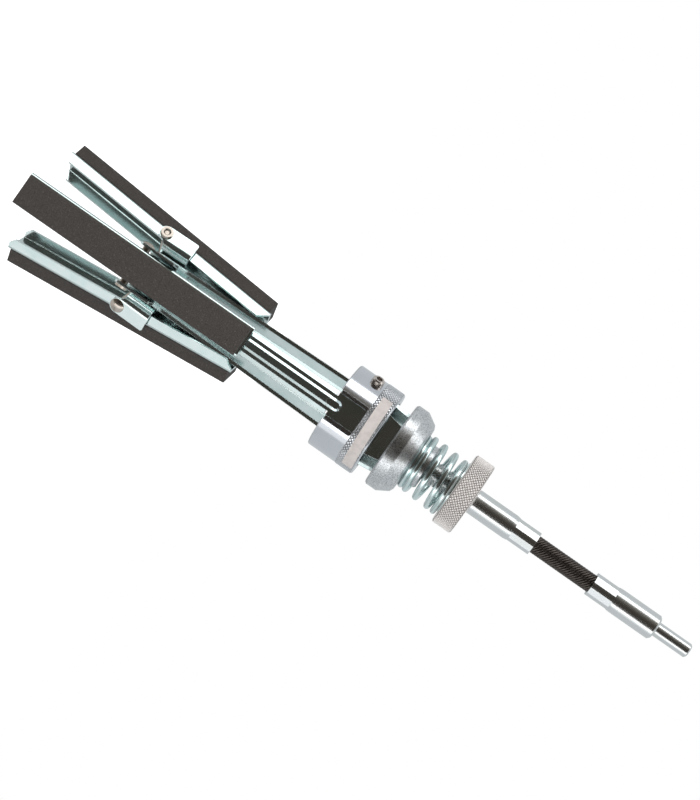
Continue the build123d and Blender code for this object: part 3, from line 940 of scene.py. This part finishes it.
# How the spring is wound, in turns from the cup
COIL_START, COIL_END = -0.1, 4.65
COIL_OPENS, COIL_OPENING = 1.05, 0.5  # where the closed turns end, and over how much they open
COIL_FLAT, COIL_CLOSING = 4.2, 0.35  # where the wire lies flat again, and over how much it gets there
CLOSED_CLIMB, OPEN_CLIMB = 2.1, 5.4  # climb of a turn, before all is fitted to the spring's length
COIL_STEPS = 56  # points in each turn


def coil_pitch(turn):
    """How steeply the spring climbs at a turn: closed at the cup, open in the middle, flat on the washer."""
    opened = ease((turn - COIL_OPENS) / COIL_OPENING)
    lifted = ease((COIL_FLAT - turn) / COIL_CLOSING)
    return (CLOSED_CLIMB + (OPEN_CLIMB - CLOSED_CLIMB) * opened) * lifted


def coil_points(low, high):
    """The middle line of the spring's wire between the corners of the spring's box."""
    radius = high.x - SPRING_WIRE / 2
    rise = high.z - low.z - SPRING_WIRE
    heights = [0.0]
    for i in range(int((COIL_END - COIL_START) * COIL_STEPS)):
        heights.append(heights[-1] + coil_pitch(COIL_START + (i + 0.5) / COIL_STEPS))
    points = []
    for i, height in enumerate(heights):
        turn = COIL_START + i / COIL_STEPS
        share = height / heights[-1]
        angle = TURN * turn - math.pi
        lean = sizes().coil_lean * math.sin(math.pi * share) * math.cos(TURN * turn)
        reach = radius - sizes().coil_nest * max(0.0, 1.0 - turn) ** 2
        x = reach * math.cos(angle) + sizes().coil_sag * share
        points.append((x, reach * math.sin(angle), low.z + SPRING_WIRE / 2 + rise * share + lean))
    return points


class HONE_OT_spring(bpy.types.Operator):
    """Winds the compression spring in a front and a rear half"""

    bl_idname = "hone.spring"
    bl_label = "Spring"

    def execute(self, context):
        low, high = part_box("compression_spring")
        middle = (low.z + high.z) / 2
        points = coil_points(low, high)
        cut = min(range(len(points)), key=lambda i: abs(points[i][2] - middle))
        for name, run, pair, ends in (
            ("spring_front", points[: cut + 1], ("cup", "head"), (low.z, middle)),
            ("spring_rear", points[cut:], ("head", "washer"), (middle, high.z)),
        ):
            piece = wire_mesh(name, run, SPRING_WIRE / 2, 5)
            settle(piece, name, "wire_plating")
            smooth_shading(piece, 60.0)
            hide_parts("compression_spring")
            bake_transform(piece)
        return {"FINISHED"}


class HONE_OT_cup(bpy.types.Operator):
    """Finishes the pressure cup and the washer"""

    bl_idname = "hone.cup"
    bl_label = "Pressure cup"

    def execute(self, context):
        dress("pressure_cup", "cup_casting")
        dress("thrust_washer", "zinc_plating")
        return {"FINISHED"}


def knurl_band():
    """The knurled ring round the carrier's rear end."""
    skin = radius_of("arm_carrier") + SKIN_GAP
    low, high = low_of("arm_carrier") + BAND_FRONT, high_of("arm_carrier") - BAND_REAR
    inner = radius_of("arm_carrier") - BAND_DEPTH
    band = sleeve(sizes().band_teeth, skin, inner, low, high, SKIN_GAP)
    knurl(band, skin, low, high, sizes().band_rows, sizes().band_proud, sizes().band_slope)
    settle(band, "knurl_band", "band_plating")
    return outward(band)


def bare_plate():
    """The thin blank plate round the band, a little askew."""
    face = radius_of("arm_carrier") + sizes().band_proud + PLATE_GAP
    thick, width = sizes().plate_thickness, sizes().plate_width
    front = high_of("arm_carrier") - PLATE_FRONT
    nothing_selected()
    bpy.ops.mesh.primitive_plane_add(size=1.0)
    plate = bpy.context.active_object
    for vert, (out, along) in zip(plate.data.vertices, ((0, 0), (1, 0), (0, 1), (1, 1))):
        vert.co = (face + thick * out, 0, front + width * along)
    plate.data.transform(Matrix.Rotation(PLATE_START, 4, "Z"))
    edit(plate)
    bpy.ops.mesh.select_all(action="SELECT")
    bpy.ops.mesh.spin(steps=PLATE_CUTS, angle=PLATE_SWEEP, center=(0, 0, 0), axis=(0, 0, 1), dupli=False)
    leave(plate)
    for vert in plate.data.vertices:
        swept = (PLATE_START - math.atan2(vert.co.y, vert.co.x)) / PLATE_SWEEP
        vert.co.z -= sizes().plate_skew * swept
    settle(plate, "bare_plate", "plate_stock")
    outward(plate)
    smooth_shading(plate)
    return plate


class HONE_OT_carrier(bpy.types.Operator):
    """Finishes the carrier and adds its knurled band and bare plate"""

    bl_idname = "hone.carrier"
    bl_label = "Arm carrier"

    def execute(self, context):
        dress("arm_carrier", "carrier_steel")
        dress("set_screw", "screw_metal")
        for k in ARMS:
            dress(f"arm_pin_{k}", "turned_plating")
        for piece in (knurl_band(), bare_plate()):
            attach(piece, "head")
        return {"FINISHED"}


class HONE_OT_arms(bpy.types.Operator):
    """Finishes the arms, clevises and rivets"""

    bl_idname = "hone.arms"
    bl_label = "Arms"

    def execute(self, context):
        for k in ARMS:
            dress(f"arm_{k}", "zinc_plating")
            dress(f"clevis_{k}", "zinc_plating")
            dress(f"stone_rivet_{k}", "rivet_metal")
        return {"FINISHED"}


class HONE_OT_stones(bpy.types.Operator):
    """Finishes the stones and their holders"""

    bl_idname = "hone.stones"
    bl_label = "Stones"

    def execute(self, context):
        for k in ARMS:
            dress(f"stone_holder_{k}", "zinc_plating")
            dress(f"stone_{k}", "stone_grit")
        return {"FINISHED"}


STRAND_STEPS = 40  # lengths that each half of the shaft is cut into


def strand_points(share, low, high, centre, bend):
    """The middle line of one strand, a helix that starts from its share of a turn at the pivot's height."""
    points = []
    for j in range(STRAND_STEPS + 1):
        z = low + (high - low) * j / STRAND_STEPS
        angle = TURN * (share - (z - bend) / sizes().strand_lead)
        points.append((centre * math.cos(angle), centre * math.sin(angle), z))
    return points


class HONE_OT_flex_shaft(bpy.types.Operator):
    """Winds the flexible shaft's strands round its core"""

    bl_idname = "hone.flex_shaft"
    bl_label = "Flexible shaft"

    def execute(self, context):
        strand = sizes().strand_diameter / 2
        centre = radius_of("flex_shaft_link") - strand
        count = sizes().strand_count
        bend = joint_height("flex_bend_a")
        front = low_of("flex_shaft_front") + SOCKET_DEPTH - HIDDEN_STRAND
        rear = high_of("flex_shaft_rear") - SOCKET_DEPTH + HIDDEN_STRAND
        for name, low, high, pair, soft in (
            ("strands_front", front, bend, ("head", "flex_link"), (bend - BEND_REACH, bend)),
            ("strands_rear", bend, rear, ("flex_link", "drive"), (bend, bend + BEND_REACH)),
        ):
            parts = [
                wire_mesh(f"strand_{i}", strand_points(i / count, low, high, centre, bend), strand, 3)
                for i in range(count)
            ]
            nothing_selected()
            bpy.ops.mesh.primitive_cylinder_add(
                vertices=32, radius=centre, depth=high - low, location=(0, 0, (low + high) / 2)
            )
            core = place_in_mesh(context.active_object)
            mesh = edit(core)
            pick(mesh, core, edges=upright_edge)
            bpy.ops.mesh.subdivide(number_cuts=STRAND_STEPS)
            leave(core)
            piece = joined([*parts, core])
            settle(piece, name, "strand_black")
            smooth_shading(piece, 60.0)
            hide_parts("flex_shaft_front", "flex_shaft_link", "flex_shaft_rear")
            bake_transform(piece)
        return {"FINISHED"}


# The studio

FLOOR_RADIUS = 6.0
LAMP_AWAY, LAMP_LENGTH, LAMP_HEIGHT = 1.1, 4.4, 0.6

# The room is pale but for the camera's side, so that the bright metal has something dark to mirror
DARK_SIDE = (-math.sin(math.radians(7.0)), -math.cos(math.radians(7.0)), 0)
DARKEST_SIDE = (math.sin(math.radians(12.0)), -math.cos(math.radians(12.0)), 0)
ROOM, DUSK, DARKEST = (0.62, 0.65, 0.665), (0.17, 0.155, 0.135), (0.040, 0.034, 0.028)
PALE_FLOOR, DARK_FLOOR = (0.82, 0.82, 0.82), (0.10, 0.09, 0.08)
WHITE, WARM_WHITE = (1.0, 1.0, 1.0), (1.0, 0.98, 0.96)


def strip_lamp(name, degrees, half_width, radiance, colour=WHITE):
    """A long soft box beside the tool, so many degrees round its axis from the camera's side."""
    angle = math.radians(degrees)
    width = 2 * LAMP_AWAY * math.tan(math.radians(half_width))
    data = bpy.data.lights.new(name, "AREA")
    data.shape = "RECTANGLE"
    data.size = width
    data.size_y = LAMP_LENGTH
    data.color = colour
    data.energy = radiance * math.pi * width * LAMP_LENGTH
    lamp = bpy.data.objects.new(name, data)
    bpy.context.scene.collection.objects.link(lamp)
    out = Vector((-math.sin(angle), -math.cos(angle), 0))
    lamp.location = Vector((0, 0, LAMP_HEIGHT)) + LAMP_AWAY * out
    lamp.rotation_euler = out.to_track_quat("Z", "Y").to_euler()
    lamp.visible_camera = False
    return lamp


def levelled(tree, vector, rise):
    """A vector with its height scaled, and the direction that it then has."""
    level = add(tree, "VectorMath", operation="MULTIPLY")
    level.inputs[1].default_value = (1, 1, rise)
    unit = add(tree, "VectorMath", operation="NORMALIZE")
    wire(tree, (vector, level.inputs[0]), (level.outputs[0], unit.inputs[0]))
    return level.outputs[0], unit.outputs[0]


def toward(tree, direction, side, edge, core):
    """1 where a direction lies within core of a side, and 0 beyond edge, both in degrees."""
    facing = add(tree, "VectorMath", operation="DOT_PRODUCT")
    facing.inputs[1].default_value = side
    share = ramp(tree, math.cos(math.radians(edge)), math.cos(math.radians(core)))
    wire(tree, (direction, facing.inputs[0]), (facing.outputs["Value"], share.inputs["Value"]))
    return share.outputs[0]


def studio_world():
    """White to the camera; for everything else a pale room that is dark behind the camera."""
    world = bpy.data.worlds.new("studio")
    bpy.context.scene.world = world
    world.use_nodes = True
    tree = world.node_tree
    place = add(tree, "TexCoord")
    sight = add(tree, "LightPath")
    direction = levelled(tree, place.outputs["Generated"], 0.25)[1]
    behind = mixed(tree, toward(tree, direction, DARKEST_SIDE, 58, 8), rgba(DUSK), rgba(DARKEST))
    room = mixed(tree, toward(tree, direction, DARK_SIDE, 62, 36), rgba(ROOM), behind)
    shown = mixed(tree, sight.outputs["Is Camera Ray"], room, rgba(WHITE))
    wire(tree, (shown, tree.nodes["Background"].inputs["Color"]))


def floor_paint():
    """A pale floor, dark on the camera's side, which the camera sees as white with a soft shadow."""
    material = bpy.data.materials.new("floor_paint")
    material.use_nodes = True
    tree = material.node_tree
    tree.nodes.remove(tree.nodes["Principled BSDF"])
    place = add(tree, "TexCoord")
    level, direction = levelled(tree, place.outputs["Object"], 0)
    reach = add(tree, "VectorMath", operation="LENGTH")
    beyond = ramp(tree, 0.06, 0.22)
    cover = add(tree, "Math", operation="MULTIPLY")
    cloth = mixed(tree, cover.outputs[0], rgba(PALE_FLOOR), rgba(DARK_FLOOR))
    matt = add(tree, "BsdfDiffuse")
    fade = ramp(tree, 0.10, 0.32, low=0.55)
    lift = add(tree, "Math", operation="MULTIPLY_ADD", use_clamp=True)
    lift.inputs[1].default_value = 0.45
    sight = add(tree, "LightPath")
    strength = add(tree, "Math", operation="MULTIPLY")
    glow = add(tree, "Emission")
    both = add(tree, "AddShader")
    wire(
        tree,
        (level, reach.inputs[0]),
        (toward(tree, direction, DARK_SIDE, 62, 36), cover.inputs[0]),
        (reach.outputs["Value"], beyond.inputs["Value"]),
        (beyond.outputs[0], cover.inputs[1]),
        (cloth, matt.inputs["Color"]),
        (reach.outputs["Value"], fade.inputs["Value"]),
        (cover.outputs[0], lift.inputs[0]),
        (fade.outputs[0], lift.inputs[2]),
        (lift.outputs[0], strength.inputs[0]),
        (sight.outputs["Is Camera Ray"], strength.inputs[1]),
        (strength.outputs[0], glow.inputs["Strength"]),
        (glow.outputs[0], both.inputs[0]),
        (matt.outputs[0], both.inputs[1]),
        (both.outputs[0], tree.nodes["Material Output"].inputs["Surface"]),
    )
    return material


def place_camera(scene):
    """The camera of the photograph."""
    studio = scene.hone_studio
    axis = Vector((0, 0, 1))
    near = Vector((-math.sin(studio.turn), -math.cos(studio.turn), 0))
    down = Vector((math.cos(studio.turn), -math.sin(studio.turn), 0))
    along = math.cos(studio.lean) * axis - math.sin(studio.lean) * near
    ahead = -math.sin(studio.lean) * axis - math.cos(studio.lean) * near
    c, s = math.cos(studio.roll), math.sin(studio.roll)
    right = c * along - s * down
    up = -(s * along + c * down)
    place = Vector((0, 0, studio.middle)) - studio.offset * down - studio.distance * ahead
    lens = bpy.data.cameras.new("camera")
    lens.sensor_fit = "VERTICAL"
    lens.sensor_height = 24.0
    lens.lens = studio.focal_pixels / studio.image_height * lens.sensor_height
    lens.clip_start = 0.01
    camera = bpy.data.objects.new("camera", lens)
    scene.collection.objects.link(camera)
    pose = Matrix((right, up, -ahead)).transposed().to_4x4()
    camera.matrix_world = Matrix.Translation(place) @ pose
    scene.camera = camera


class HONE_OT_stage(bpy.types.Operator):
    """Sets the camera, the floor, the lamps and the world"""

    bl_idname = "hone.stage"
    bl_label = "Stage"

    def execute(self, context):
        context.scene.view_settings.view_transform = "Standard"
        place_camera(context.scene)
        nothing_selected()
        level = CAD_BOX[0][2] - context.scene.hone_studio.floor_drop
        bpy.ops.mesh.primitive_circle_add(
            vertices=96, radius=FLOOR_RADIUS, fill_type="NGON", location=(0, 0, level)
        )
        floor = place_in_mesh(context.active_object)
        floor.name = "floor"
        floor.data.materials.append(floor_paint())
        strip_lamp("upper_strip", 67, 12, 1.6)
        strip_lamp("lower_strip", -44.5, 8, 1.6)
        strip_lamp("lower_edge", -60, 7.5, 0.42)
        fill = strip_lamp("front_fill", 7, 35, 1.1, colour=WARM_WHITE)
        fill.visible_glossy = False
        studio_world()
        return {"FINISHED"}


class HONE_PT_panel(bpy.types.Panel):
    """Lists the hone's pieces and settings"""

    bl_idname = "HONE_PT_panel"
    bl_label = "Cylinder Hone"
    bl_space_type = "VIEW_3D"
    bl_region_type = "UI"
    bl_category = "Hone"

    def draw(self, context):
        for operator in OPERATORS:
            self.layout.operator(operator.bl_idname)
        for settings in (context.scene.hone_sizes, context.scene.hone_colours, context.scene.hone_studio):
            box = self.layout.box()
            for key in settings.__annotations__:
                box.prop(settings, key)


OPERATORS = (
    HONE_OT_stage, HONE_OT_drive_end, HONE_OT_flex_shaft, HONE_OT_spindle, HONE_OT_nut, HONE_OT_spring,
    HONE_OT_cup, HONE_OT_carrier, HONE_OT_arms, HONE_OT_stones,
)
CLASSES = (HoneSizes, HoneColours, HoneStudio, *OPERATORS, HONE_PT_panel)


def register():
    for item in CLASSES:
        bpy.utils.register_class(item)
    bpy.types.Scene.hone_sizes = bpy.props.PointerProperty(type=HoneSizes)
    bpy.types.Scene.hone_colours = bpy.props.PointerProperty(type=HoneColours)
    bpy.types.Scene.hone_studio = bpy.props.PointerProperty(type=HoneStudio)


def unregister():
    del bpy.types.Scene.hone_studio
    del bpy.types.Scene.hone_colours
    del bpy.types.Scene.hone_sizes
    for item in reversed(CLASSES):
        bpy.utils.unregister_class(item)


def main():
    register()
    for operator in OPERATORS:
        family, name = operator.bl_idname.split(".")
        getattr(getattr(bpy.ops, family), name)()


if __name__ == "__main__":
    main()
